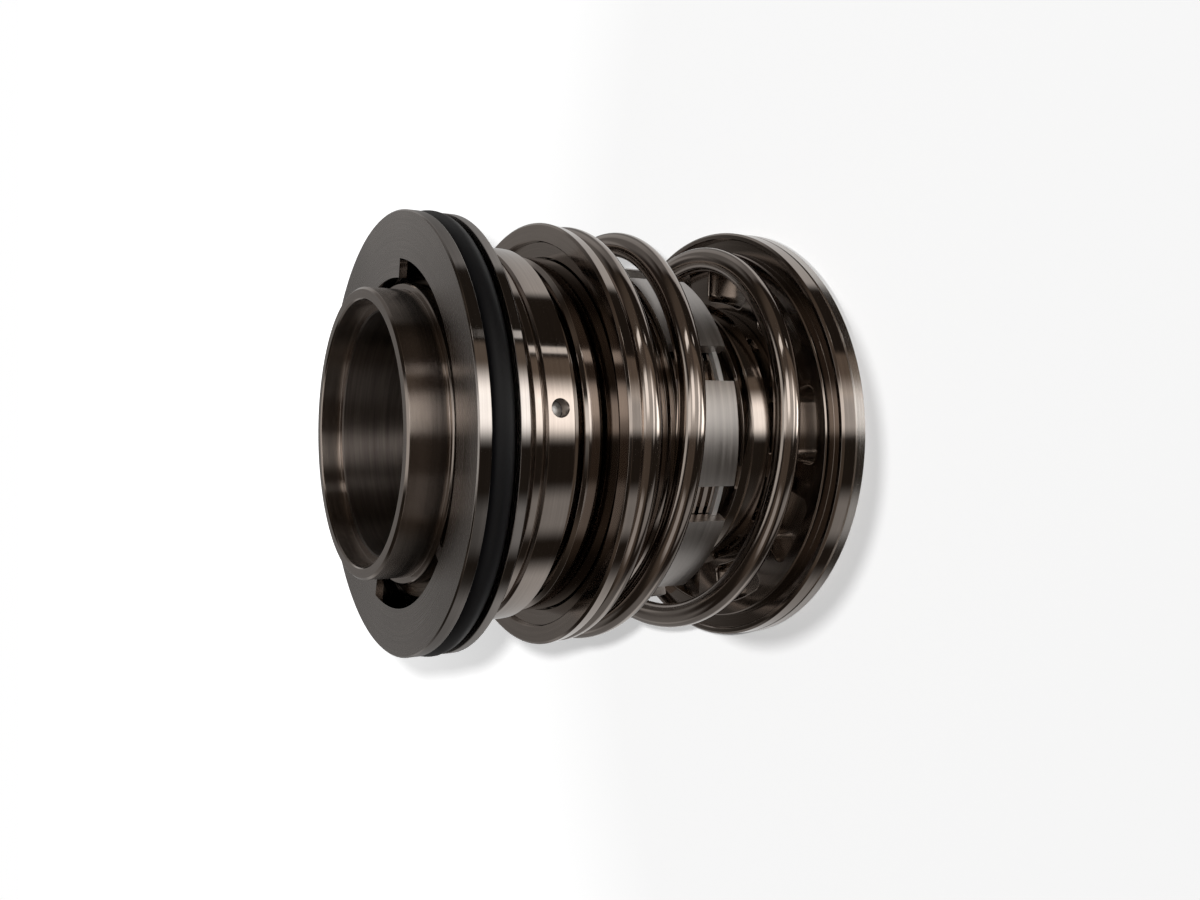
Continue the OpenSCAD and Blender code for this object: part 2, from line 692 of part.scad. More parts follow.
module seat_holder() {
    groove_r = spigot_r - spigot_oring_cord - 2 * seat_fit;
    groove_low = spigot_oring_z - spigot_groove_w / 2;
    neck_r = holder_r - neck_depth;
    groove_floor_r = holder_r - band_groove_depth;
    band_z = port_band_z + band_groove_w + chamfer;
    color("dimgray") difference() {
        turned([[pocket_r, holder_z], [holder_r - edge, holder_z], [holder_r, holder_z + edge],
                [holder_r, port_band_z], [holder_r - chamfer, port_band_z + chamfer],
                [groove_floor_r, port_band_z + chamfer], [groove_floor_r, band_z], [holder_r, band_z],
                [holder_r, band_z + band_w], [neck_r, band_z + band_w + neck_depth / 2], [neck_r, flange_z],
                [spigot_r, flange_z], [spigot_r, groove_low], [groove_r, groove_low],
                [groove_r, groove_low + spigot_groove_w], [spigot_r, groove_low + spigot_groove_w],
                [spigot_r, spigot_z], [bush_r, spigot_z], [bush_r, pocket_z], [pocket_r, pocket_z]]);
        for (i = [0 : port_count - 1])
            radial_rod(port_at + i * 360 / port_count, port_d,
                       pocket_r - overcut, holder_r + overcut, port_z);
    }
}

module spigot_oring() {
    color("black") cord_ring(spigot_r - spigot_oring_cord / 2 - seat_fit, spigot_oring_cord, spigot_oring_z);
}

module guide_bush() {
    color("peru") turned([[run_r, pocket_z], [bush_r, pocket_z], [bush_r, spigot_z],
                          [bush_head_d / 2, spigot_z], [bush_head_d / 2, collar_z - free_gap],
                          [run_r, collar_z - free_gap]]);
}

module stationary_ring() {
    land = face_w / 2 + seat_land;
    relief = seat_relief;
    color("slategray") difference() {
        turned([[seat_bore_r, seat_z + relief], [face_r - land, seat_z + relief], [face_r - land, seat_z],
                [face_r + land, seat_z], [face_r + land, seat_z + relief], [seat_r, seat_z + relief],
                [seat_r, pocket_z - seat_step_h], [seat_step_r, pocket_z - seat_step_h],
                [seat_step_r, pocket_z], [seat_bore_r, pocket_z]]);
        for (i = [0 : port_count - 1])
            radial_rod(port_at + i * 360 / port_count, port_d,
                       pin_inner_r - pin_end_gap, seat_r + overcut, port_z);
    }
}

module seat_oring() {
    color("black") cord_ring((seat_step_r + pocket_r) / 2, seat_oring_cord, pocket_z - seat_step_h / 2);
}

module antirotation_pins() {
    color("silver") for (i = [0 : port_count - 1]) intersection() {
        radial_rod(port_at + i * 360 / port_count, port_d - 2 * seat_fit,
                   pin_inner_r, pin_outer_r + overcut, port_z);
        at(port_at + i * 360 / port_count) translate([pin_outer_r - pin_dome_r, 0, port_z])
            sphere(r = pin_dome_r, $fn = 48);
    }
}

shaft_sleeve();
sleeve_oring();
drive_pins();
stop_ring();
lock_collar();
set_screws();
hub_spacer();
spring_plate();
rear_disc();
rear_snap_ring();
plate_screws();
main_spring();
rotary_ring();
head_cup();
head_oring();
thrust_washer();
drive_crown();
inner_carrier();
crown_clip();
flange_ring();
flange_oring();
seat_holder();
spigot_oring();
guide_bush();
stationary_ring();
seat_oring();
antirotation_pins();
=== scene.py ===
"""Looks of a cartridge mechanical seal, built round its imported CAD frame.

Lengths are metres. Pattern angles are degrees round the shaft axis: 0 looks at the camera, 90 is
the camera's up.
"""

import json
import math

import bpy
import numpy as np
from bpy.props import FloatProperty, FloatVectorProperty, IntProperty, PointerProperty
from bpy.types import Operator, Panel, PropertyGroup
from mathutils import Matrix, Vector


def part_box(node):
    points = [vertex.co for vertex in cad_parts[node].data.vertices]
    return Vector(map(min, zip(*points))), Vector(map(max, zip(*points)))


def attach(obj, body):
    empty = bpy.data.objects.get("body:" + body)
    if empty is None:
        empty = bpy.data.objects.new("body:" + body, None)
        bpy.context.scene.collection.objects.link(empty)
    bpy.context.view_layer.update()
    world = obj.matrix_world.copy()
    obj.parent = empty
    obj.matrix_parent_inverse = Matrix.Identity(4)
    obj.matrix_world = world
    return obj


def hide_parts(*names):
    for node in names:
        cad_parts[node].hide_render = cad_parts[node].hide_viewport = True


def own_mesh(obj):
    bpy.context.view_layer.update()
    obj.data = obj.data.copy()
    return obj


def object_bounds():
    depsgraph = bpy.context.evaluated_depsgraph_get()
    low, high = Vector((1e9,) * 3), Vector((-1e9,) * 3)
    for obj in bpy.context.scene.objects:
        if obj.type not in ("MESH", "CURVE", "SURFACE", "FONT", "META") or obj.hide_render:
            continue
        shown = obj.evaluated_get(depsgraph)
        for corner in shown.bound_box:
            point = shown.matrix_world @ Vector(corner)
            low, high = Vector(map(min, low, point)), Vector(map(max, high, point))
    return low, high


bl_info = {
    "name": "Cartridge Mechanical Seal",
    "version": (1, 0, 0),
    "blender": (4, 5, 0),
    "location": "View3D > Sidebar > Seal",
    "description": "Turned rings, coil spring, finishes and studio of a cartridge mechanical seal",
    "category": "Object",
}

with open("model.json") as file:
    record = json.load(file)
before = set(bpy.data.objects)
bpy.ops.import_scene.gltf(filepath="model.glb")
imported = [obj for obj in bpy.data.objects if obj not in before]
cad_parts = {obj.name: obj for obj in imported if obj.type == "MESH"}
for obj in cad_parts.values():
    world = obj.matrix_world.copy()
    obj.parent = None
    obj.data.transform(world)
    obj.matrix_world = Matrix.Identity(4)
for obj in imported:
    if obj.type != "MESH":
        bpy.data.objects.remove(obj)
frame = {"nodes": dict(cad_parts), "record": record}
cad_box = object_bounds()
record = frame["record"]
BODY_OF = {node: body for body, nodes in record["behaviour"]["bodies"].items() for node in nodes}
SLOT_OF = {part["node"]: part["material_slot"] for part in record["subparts"]}

MM = 0.001
COLUMNS = 288
CORNER_STEPS = 4
BORE_SIDES = 48
WINDOW_CORNER_STEPS = 8
WINDOW_ARC_STEPS = 13
WIRE_SIDES = 32
RINGS_A_TURN = 120
HAIR = 1e-7

# Pattern angles and counts of what isn't the same all round
SET_SCREWS = (135, 225)
DRIVE_PINS = (-90, 90)
LIP = (80, 255)
TOOTH = (-41, -36)
PORTS = 3
TABS = 8
TAB_HALF = 16.5


def length(name, description, default):
    """A size that is given in millimetres and kept in metres."""
    return FloatProperty(
        name=name, description=description, default=default * MM, unit="LENGTH", precision=5
    )


def degrees(name, description, default):
    return FloatProperty(name=name, description=description, default=math.radians(default), subtype="ANGLE")


def share(name, description, default):
    return FloatProperty(name=name, description=description, default=default, subtype="FACTOR")


def turns(name, description, default):
    return FloatProperty(name=name, description=description, default=default)


def colour(name, description, default):
    return FloatVectorProperty(
        name=name, description=description, default=default, subtype="COLOR", size=3, min=0.0, max=1.0
    )


class SealSizes(PropertyGroup):
    edge: length("Edge", "Radius that eases the corners of turned pieces", 0.14)
    fine_edge: length("Fine edge", "Radius on the corners of small turned pieces", 0.08)
    wire: length("Wire", "Diameter of the spring wire", 6)
    closed_gap: length("Closed gap", "Gap between the closed turns at the cup", 0.1)
    ground: length("Ground", "Height of the wire centre above a ground spring end", 0.9)
    front_turns: turns("Front turns", "Closed turns at the cup", 1.086)
    open_turns: turns("Open turns", "Open turns of the spring", 1.595)
    rear_turns: turns("Rear turns", "Turns that lie flat on the spring plate", 0.341)
    wire_end: degrees("Wire end", "Pattern angle of the wire end at the cup", -120)
    blend: degrees("Blend", "Angle over which a closed turn opens", 40)
    taper: length("Taper", "How much narrower the spring is at the spring plate", 1.25)
    taper_from: degrees("Taper start", "Angle along the wire where the spring begins to narrow", 730)
    taper_width: degrees("Taper width", "Angle over which the spring narrows", 180)
    lean: length("Lean", "How far the open turns lean forward at pattern angle 90", 1.8)
    lean_width: degrees("Lean width", "Angle along the wire over which the open turns lean", 519)
    port_at: degrees("First port", "Pattern angle of the first port", 6.8)
    port_play: length("Port play", "Play of a pin in its port", 0.1)
    spoke_at: degrees("First spoke", "Pattern angle of the first spoke of the spring plate", -51.25)
    windows: IntProperty(name="Windows", description="Windows in the spring plate", default=10)
    window: degrees("Window", "Angle that a window spans", 24)
    window_inner: length("Window inner", "Inner radius of the windows", 35)
    window_outer: length("Window outer", "Outer radius of the windows", 44.5)
    window_round: length("Window corner", "Corner radius of the windows", 2)
    screw: length("Screw", "Diameter of the screws in the rear disc", 3)


class SealFinish(PropertyGroup):
    plated: colour("Plating", "Colour of the dark plated steel", (0.335, 0.290, 0.258))
    satin: colour("Satin plating", "Colour of the satin plated faces", (0.33, 0.302, 0.282))
    wire: colour("Wire", "Colour of the spring wire", (0.345, 0.300, 0.268))
    tabs: colour("Tabs", "Colour of the drive crown's tabs", (0.42, 0.395, 0.375))
    bright: colour("Bright steel", "Colour of pins, screws and clips", (0.55, 0.53, 0.51))
    carbide: colour("Carbide", "Colour of the seal rings", (0.36, 0.315, 0.283))
    bronze: colour("Bronze", "Colour of the guide bush", (0.10, 0.07, 0.045))
    # Darker than the plating: painted shade inside the sleeve's bore
    bore_with_shade: colour("Bore", "Colour of the turned bore of the sleeve", (0.18, 0.155, 0.14))
    disc: colour("Disc", "Colour of the rear disc", (0.52, 0.485, 0.455))
    rubber: colour("Rubber", "Colour of the O-rings", (0.0025, 0.0025, 0.003))
    gloss: share("Polished roughness", "Roughness of polished plating", 0.075)
    satin_gloss: share("Satin roughness", "Roughness of satin plating", 0.26)


class SealStudio(PropertyGroup):
    lens: FloatProperty(name="Lens", description="Focal length in millimetres", default=32.34)
    tilt: degrees("Tilt", "Angle between the seal's axis and the line of sight", 60.07)
    distance: length("Distance", "Depth of the flange face's centre in front of the camera", 243.75)
    offset: length("Offset", "Distance of the flange face's centre from the optical axis", 47.55)
    rise: FloatProperty(name="Rise", description="Shift of the picture along its height", default=-0.01375)
    floor: length("Floor", "Size of the floor", 12000)
    flash: FloatProperty(name="Flash", description="Power of the lamp beside the camera", default=31.0)
    flash_aside: length("Flash aside", "How far the flash is to the left of the camera and above it", 9)
    flash_size: length("Flash size", "Radius of the flash", 4)
    sun: FloatProperty(name="Top light", description="Strength of the light from above", default=1.5)
    fill: FloatProperty(name="Fill light", description="Strength of the even fill", default=0.05)
    floor_tone: share("Floor tone", "How much light the floor throws back on the seal", 0.8)
    white_at: length("White at", "Distance from the camera at which the floor's own colour is white", 351)
    near_glow: FloatProperty(
        name="Near glow", description="Light added to the floor nearer the camera", default=0.52
    )


def eased(corners, ease):
    """Outline with rounded corners; a row is radius, height and the way the surface faces there."""
    rows = []
    for i, here in enumerate(corners):
        arrive = here - corners[i - 1]
        leave = corners[(i + 1) % len(corners)] - here
        room = 0.45 * min(np.hypot(*arrive), np.hypot(*leave))
        arrive = arrive / np.hypot(*arrive)
        leave = leave / np.hypot(*leave)
        bend = math.atan2(arrive[0] * leave[1] - arrive[1] * leave[0], arrive @ leave)
        half = math.tan(abs(bend) / 2)
        radius = min(ease, room / half)
        outward = np.array([arrive[1], -arrive[0]])
        centre = here - arrive * radius * half - math.copysign(radius, bend) * outward
        for step in range(CORNER_STEPS + 1):
            angle = bend * step / CORNER_STEPS
            facing = np.array([
                outward[0] * math.cos(angle) - outward[1] * math.sin(angle),
                outward[0] * math.sin(angle) + outward[1] * math.cos(angle),
            ])
            rows.append([*(centre + math.copysign(radius, bend) * facing), *facing])
    return np.array(rows)


def section(node, angle, ease):
    """Outline of a turned CAD node in the half plane at a pattern angle."""
    mesh = frame["nodes"][node].data
    turn = math.radians(angle - 90)
    ahead = Vector((math.cos(turn), math.sin(turn), 0))
    aside = Vector((-math.sin(turn), math.cos(turn), 0))
    places = [vertex.co.copy() for vertex in mesh.vertices]
    links = {}
    corners = set()
    for face in mesh.polygons:
        crossed = []
        for a, b in zip(face.vertices, [*face.vertices[1:], face.vertices[0]]):
            a, b = sorted((places[a], places[b]), key=tuple)
            low, high = a.dot(aside), b.dot(aside)
            if (low > 0) == (high > 0) or a.dot(ahead) < 0:
                continue
            radii = [math.hypot(a.x, a.y), math.hypot(b.x, b.y)]
            on_circle = abs(radii[0] - radii[1]) < 3e-6 and abs(a.z - b.z) < 3e-6
            spot = a.lerp(b, low / (low - high))
            key = (round(sum(radii) / 2 if on_circle else spot.dot(ahead), 8), round(spot.z, 8))
            crossed.append(key)
            if on_circle:
                corners.add(key)
        if len(crossed) == 2 and crossed[0] != crossed[1]:
            links.setdefault(crossed[0], []).append(crossed[1])
            links.setdefault(crossed[1], []).append(crossed[0])
    start = max(corners)
    loop = [start]
    before, here = None, start
    while True:
        onward = [key for key in links[here] if key != before]
        if not onward:
            raise RuntimeError(f"the section of {node} isn't closed")
        before, here = here, onward[0]
        if here == start:
            break
        loop.append(here)
    points = [np.array(key) for key in loop if key in corners]
    count = len(points)
    points = [p for i, p in enumerate(points) if not on_line(points[i - 1], p, points[(i + 1) % count])]
    area = sum(p[0] * q[1] - q[0] * p[1] for p, q in zip(points, [*points[1:], points[0]]))
    if area < 0:
        points.reverse()
    return eased(points, ease)


def on_line(a, b, c):
    """Whether b adds no corner between a and c."""
    first, second = b - a, c - b
    turn = abs(first[0] * second[1] - first[1] * second[0])
    return turn < 0.003 * np.hypot(*first) * np.hypot(*second)


def circle_outline(mean, radius, height, steps=40):
    """Outline of an O-ring."""
    angles = np.linspace(0, 2 * math.pi, steps, endpoint=False)
    facing = np.stack([np.cos(angles), np.sin(angles)], 1)
    return np.concatenate([facing * radius + [mean, height], facing], 1)


def woven(outline, others):
    """The outline with the points of the others that lie on its straight stretches."""
    rows = []
    for row, after in zip(outline, np.roll(outline, -1, 0)):
        rows.append(row)
        reach = after[:2] - row[:2]
        size = np.hypot(*reach)
        if size < 1e-5:
            continue
        found = []
        for other in others:
            for point in other[:, :2]:
                along = (point - row[:2]) @ reach / size
                off = abs((point - row[:2])[0] * reach[1] - (point - row[:2])[1] * reach[0]) / size
                if off < HAIR and HAIR < along < size - HAIR:
                    found.append((along, *point))
        for _, radius, height in sorted(set(found)):
            rows.append([radius, height, *row[2:]])
    return np.array(rows)


def spot_key(row):
    return (round(float(row[0]), 7), round(float(row[1]), 7))


def wall(first, second):
    """Flat faces that close the step between two outlines that meet at one angle."""
    found = []
    place = {spot_key(row): i for i, row in enumerate(second)}
    shared = [i for i, row in enumerate(first) if spot_key(row) in place]
    for a, b in zip(shared, [*shared[1:], shared[0] + len(first)]):
        mine = [first[i % len(first)][:2] for i in range(a, b + 1)]
        start, end = place[spot_key(mine[0])], place[spot_key(mine[-1])]
        if end < start:
            end += len(second)
        theirs = [second[i % len(second)][:2] for i in range(start, end + 1)]
        if len(mine) <= 2 and len(theirs) <= 2:
            continue
        ring = mine + theirs[-2:0:-1]
        area = sum(p[0] * q[1] - q[0] * p[1] for p, q in zip(ring, [*ring[1:], ring[0]]))
        if abs(area) > 1e-11:
            found.append((ring[::-1], math.copysign(1, area)))
    return found


def turned_data(stretches):
    """Places, faces and corner normals of outlines that are swept round the axis.

    A stretch is its first and last pattern angle and its outline.
    """
    places, faces, normals = [], [], []
    for first, last, outline in stretches:
        count = max(1, round((last - first) / 360 * COLUMNS))
        turns = np.radians(np.linspace(first, last, count + 1) - 90)
        base = len(places)
        size = len(outline)
        for turn in turns:
            c, s = math.cos(turn), math.sin(turn)
            places.extend([(r * c, r * s, z) for r, z in outline[:, :2]])
        for j in range(count):
            for k in range(size):
                after = (k + 1) % size
                here, ahead = base + j * size, base + (j + 1) * size
                faces.append([here + k, ahead + k, ahead + after, here + after])
                for turn, kk in ((turns[j], k), (turns[j + 1], k), (turns[j + 1], after), (turns[j], after)):
                    nr, nz = outline[kk, 2:]
                    normals.append((nr * math.cos(turn), nr * math.sin(turn), nz))
    if len(stretches) > 1:
        for (_, last, mine), (_, _, theirs) in zip(stretches, [*stretches[1:], stretches[0]]):
            turn = math.radians(last - 90)
            c, s = math.cos(turn), math.sin(turn)
            for ring, way in wall(mine, theirs):
                faces.append([len(places) + i for i in range(len(ring))])
                places.extend([(r * c, r * s, z) for r, z in ring])
                normals.extend([(-way * s, way * c, 0.0)] * len(ring))
    return places, faces, normals


def welded(places, faces, normals):
    """The same mesh with one vertex for each place and without faces that have no area."""
    table = np.round(np.array(places) / HAIR).astype(np.int64)
    _, first, index = np.unique(table, axis=0, return_index=True, return_inverse=True)
    index = index.reshape(-1)
    kept_faces, kept_normals = [], []
    loop = 0
    for face in faces:
        corners = [(int(index[v]), normals[loop + i]) for i, v in enumerate(face)]
        loop += len(face)
        slim = [c for i, c in enumerate(corners) if c[0] != corners[i - 1][0]]
        if len({c[0] for c in slim}) < 3:
            continue
        kept_faces.append([c[0] for c in slim])
        kept_normals.extend([c[1] for c in slim])
    return [places[i] for i in first], kept_faces, kept_normals


def mesh_piece(name, places, faces, normals=None):
    """A new object of the mesh, smooth, with the given corner normals."""
    mesh = bpy.data.meshes.new(name)
    mesh.from_pydata(places, [], faces)
    mesh.polygons.foreach_set("use_smooth", [True] * len(mesh.polygons))
    if normals is not None:
        mesh.normals_split_custom_set(normals)
    piece = bpy.data.objects.new(name, mesh)
    bpy.context.scene.collection.objects.link(piece)
    return piece


def turned_piece(name, *stretches):
    return mesh_piece(name, *welded(*turned_data(stretches)))


def dressed(piece, finish, *nodes):
    """Gives a piece its finish, and puts it in the place of CAD nodes."""
    piece.data.materials.clear()
    piece.data.materials.append(finish)
    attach(piece, BODY_OF[nodes[0]])
    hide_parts(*nodes)
    return piece


def round_cutter(radius, low, high, flare=0.0, flare_at=None):
    """Solid bar along Z, which may widen at one height to ease the edge that it cuts."""
    levels = [(low, radius), (high, radius)]
    if flare_at is not None:
        levels = [(low, radius), (flare_at - flare, radius), (flare_at, radius + flare),
                  (flare_at + flare, radius + 2 * flare), (high, radius + 2 * flare)]
    places = []
    for height, wide in levels:
        for i in range(BORE_SIDES):
            turn = 2 * math.pi * i / BORE_SIDES
            places.append((wide * math.cos(turn), wide * math.sin(turn), height))
    return stacked(places, BORE_SIDES, len(levels))


def stacked(places, count, levels):
    """Closed solid of rings of places, one above another."""
    faces = [list(reversed(range(count))), [(levels - 1) * count + i for i in range(count)]]
    for level in range(levels - 1):
        for i in range(count):
            a, b = level * count + i, level * count + (i + 1) % count
            faces.append([a, b, b + count, a + count])
    return places, faces


def radial(cutter, angle, height):
    """A cutter along Z turned to point away from the axis at a pattern angle."""
    places, faces = cutter
    turn = Matrix.Rotation(math.radians(angle - 90), 4, "Z") @ Matrix.Rotation(math.radians(90), 4, "Y")
    return [tuple(turn @ Vector(p) + Vector((0, 0, height))) for p in places], faces


def standing(cutter, angle, radius):
    """A cutter along Z moved to a radius at a pattern angle."""
    places, faces = cutter
    turn = math.radians(angle - 90)
    return [(p[0] + radius * math.cos(turn), p[1] + radius * math.sin(turn), p[2]) for p in places], faces


def window_cutter(sizes, angle, low, high, ease):
    """Solid of the shape of one window, widened at its upper end to ease the edge."""
    corner, half = sizes.window_round, sizes.window / 2
    trim_out = math.asin(corner / (sizes.window_outer - corner))
    trim_in = math.asin(corner / (sizes.window_inner + corner))
    rim = []
    for centre, radius, start, end in (
        (half - trim_in, sizes.window_inner + corner, half - trim_in + math.pi, half + math.pi / 2),
        (half - trim_out, sizes.window_outer - corner, half + math.pi / 2, half - trim_out),
    ):
        for step in range(WINDOW_CORNER_STEPS + 1):
            turn = start + (end - start) * step / WINDOW_CORNER_STEPS
            facing = (math.cos(turn), math.sin(turn))
            rim.append((radius * math.cos(centre) + corner * facing[0],
                        radius * math.sin(centre) + corner * facing[1], *facing))
    inner = [(sizes.window_inner * math.cos(a), sizes.window_inner * math.sin(a), -math.cos(a), -math.sin(a))
             for a in np.linspace(-half + trim_in, half - trim_in, WINDOW_ARC_STEPS + 1)[1:-1]]
    outer = [(sizes.window_outer * math.cos(a), sizes.window_outer * math.sin(a), math.cos(a), math.sin(a))
             for a in np.linspace(half - trim_out, -half + trim_out, WINDOW_ARC_STEPS + 1)[1:-1]]
    mirrored = [(x, -y, nx, -ny) for x, y, nx, ny in reversed(rim)]
    outline = (rim + outer + mirrored + inner)[::-1]
    turn = math.radians(angle - 90)
    c, s = math.cos(turn), math.sin(turn)
    steps = [(low, 0.0)]
    for i in range(4):
        lean = math.pi / 2 * i / 3
        steps.append((high - ease * (1 - math.sin(lean)), ease * (1 - math.cos(lean))))
    steps.append((high + ease, ease))
    places = []
    for height, wide in steps:
        for x, y, nx, ny in outline:
            px, py = x + nx * wide, y + ny * wide
            places.append((px * c - py * s, px * s + py * c, height))
    return stacked(places, len(outline), len(steps))


def cut(piece, cutters, outline):
    """Cuts solids out of a turned piece, and keeps the piece's turned faces perfectly round."""
    places, faces = [], []
    for more_places, more_faces in cutters:
        faces.extend([[len(places) + i for i in face] for face in more_faces])
        places.extend(more_places)
    tool = mesh_piece(piece.name + "_tool", places, faces)
    modifier = piece.modifiers.new("cut", "BOOLEAN")
    modifier.operation = "DIFFERENCE"
    modifier.solver = "EXACT"
    modifier.object = tool
    depsgraph = bpy.context.evaluated_depsgraph_get()
    mesh = bpy.data.meshes.new_from_object(piece.evaluated_get(depsgraph))
    piece.modifiers.clear()
    piece.data = mesh
    bpy.data.objects.remove(tool)
    true_facings(mesh, outline)
    return piece


def true_facings(mesh, outline):
    """Sets the corner normals of turned faces from their outline, and smooths the rest by angle."""
    stale = mesh.attributes.get("custom_normal")
    if stale:
        mesh.attributes.remove(stale)
    mesh.polygons.foreach_set("use_smooth", [True] * len(mesh.polygons))
    mesh.set_sharp_from_angle(angle=math.radians(32))
    count = len(mesh.loops)
    normals = np.zeros(count * 3, np.float32)
    mesh.corner_normals.foreach_get("vector", normals)
    normals = normals.reshape(-1, 3).astype(float)
    spots = np.zeros(len(mesh.vertices) * 3, np.float32)
    mesh.vertices.foreach_get("co", spots)
    spots = spots.reshape(-1, 3).astype(float)
    corner = np.zeros(count, np.int32)
    mesh.loops.foreach_get("vertex_index", corner)
    owner = np.repeat(np.arange(len(mesh.polygons)), [p.loop_total for p in mesh.polygons])
    centre = np.array([p.center for p in mesh.polygons])
    facing = np.array([p.normal for p in mesh.polygons])
    reach = np.hypot(centre[:, 0], centre[:, 1])
    sideways = (facing[:, 1] * centre[:, 0] - facing[:, 0] * centre[:, 1]) / reach
    start, step = outline[:, :2], np.roll(outline, -1, 0)[:, :2] - outline[:, :2]
    span = np.maximum((step**2).sum(1), 1e-18)
    flat = np.stack([reach, centre[:, 2]], 1)
    along = np.clip(((flat[:, None] - start) * step).sum(2) / span, 0, 1)
    miss = np.linalg.norm(flat[:, None] - start - along[..., None] * step, axis=2)
    nearest = miss.argmin(1)
    turned = (np.abs(sideways) < 0.02) & (miss.min(1) < 1.5e-5)
    chosen = turned[owner]
    piece_of = nearest[owner]
    radius = np.hypot(spots[corner][:, 0], spots[corner][:, 1])
    place = np.stack([radius, spots[corner][:, 2]], 1)
    part = np.clip(((place - start[piece_of]) * step[piece_of]).sum(1) / span[piece_of], 0, 1)[:, None]
    after = np.roll(outline, -1, 0)[piece_of][:, 2:]
    way = outline[piece_of][:, 2:] * (1 - part) + after * part
    way /= np.linalg.norm(way, axis=1)[:, None]
    swept = np.stack([way[:, 0] * spots[corner][:, 0] / radius, way[:, 0] * spots[corner][:, 1] / radius,
                      way[:, 1]], 1)
    normals[chosen] = swept[chosen]
    mesh.normals_split_custom_set([tuple(n) for n in normals])


def coil_piece(name, sizes):
    """The spring: closed turns at both ends, ground flat, with open turns between them."""
    low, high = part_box("main_spring")
    radius = sizes.wire / 2
    mean = high.x - radius
    for value in (low.y, high.y):
        mean = max(mean, abs(value) - radius)
    closed = sizes.wire + sizes.closed_gap
    turns = sizes.front_turns + sizes.open_turns + sizes.rear_turns
    fall = high.z - low.z - 2 * sizes.ground
    opened = (fall - closed * sizes.front_turns) / sizes.open_turns
    opens, closes = 360 * sizes.front_turns, 360 * (sizes.front_turns + sizes.open_turns)
    blend = math.degrees(sizes.blend)
    rings = round(turns * RINGS_A_TURN)

    def eased_step(angle, at):
        if angle < at - blend:
            return 0.0
        if angle > at + blend:
            return angle - at
        return (angle - at + blend) ** 2 / (4 * blend)

    def passed(angle, start, width):
        return min(1, max(0, (angle - start) / math.degrees(width)))

    def wire_height(angle):
        opening, closing = eased_step(angle, opens), eased_step(angle, closes)
        fallen = closed * angle + (opened - closed) * opening - opened * closing
        swing = math.sin(math.pi * passed(angle, opens, sizes.lean_width)) ** 2
        lean = sizes.lean * swing * math.sin(sizes.wire_end + math.radians(angle))
        return high.z - sizes.ground - fallen / 360 + lean

    def wire_reach(angle):
        return mean - sizes.taper * passed(angle, math.degrees(sizes.taper_from), sizes.taper_width)

    places, way = [], []
    for i in range(rings + 1):
        angle = 360 * turns * i / rings
        turn = sizes.wire_end - math.pi / 2 + math.radians(angle)
        for j in range(WIRE_SIDES):
            lean = 2 * math.pi * j / WIRE_SIDES
            reach = wire_reach(angle) + radius * math.cos(lean)
            height = wire_height(angle) + radius * math.sin(lean)
            flat = min(high.z, max(low.z, height))
            places.append((reach * math.cos(turn), reach * math.sin(turn), flat))
            if flat != height:
                way.append((0.0, 0.0, math.copysign(1, height - flat)))
            else:
                out = math.cos(lean)
                way.append((out * math.cos(turn), out * math.sin(turn), math.sin(lean)))
    faces, normals = [], []
    for i in range(rings):
        here, ahead = i * WIRE_SIDES, (i + 1) * WIRE_SIDES
        for j in range(WIRE_SIDES):
            after = (j + 1) % WIRE_SIDES
            face = [here + j, ahead + j, ahead + after, here + after]
            faces.append(face)
            normals.extend([way[v] for v in face])
    for ring, flip in ((0, False), (rings, True)):
        face = [ring * WIRE_SIDES + j for j in range(WIRE_SIDES)]
        face = face[::-1] if flip else face
        faces.append(face)
        turn = sizes.wire_end - math.pi / 2 + math.radians(360 * turns * ring / rings)
        sign = 1 if flip else -1
        normals.extend([(-math.sin(turn) * sign, math.cos(turn) * sign, 0.0)] * WIRE_SIDES)
    return mesh_piece(name, places, faces, normals)


class Nodes:
    """Adds nodes to a material or world, and wires their inputs."""

    def __init__(self, tree):
        self.tree = tree
        tree.nodes.clear()

    def add(self, kind, *inputs, output=0, **settings):
        node = self.tree.nodes.new(kind)
        for key, value in settings.items():
            if key in node.bl_rna.properties:
                setattr(node, key, value)
            else:
                self.feed(node.inputs[key], value)
        for socket, value in zip(node.inputs, inputs):
            if value is not None:
                self.feed(socket, value)
        return node.outputs[output] if node.outputs else node

    def feed(self, socket, value):
        if isinstance(value, bpy.types.NodeSocket):
            self.tree.links.new(value, socket)
        else:
            socket.default_value = value

    def math(self, operation, *inputs):
        return self.add("ShaderNodeMath", *inputs, operation=operation)

    def ramp(self, value, low, high, to_low, to_high, smooth=True):
        kind = "SMOOTHSTEP" if smooth else "LINEAR"
        return self.add("ShaderNodeMapRange", value, low, high, to_low, to_high, interpolation_type=kind)


def new_material(name):
    material = bpy.data.materials.new(name)
    material.use_nodes = True
    return material, Nodes(material.node_tree)


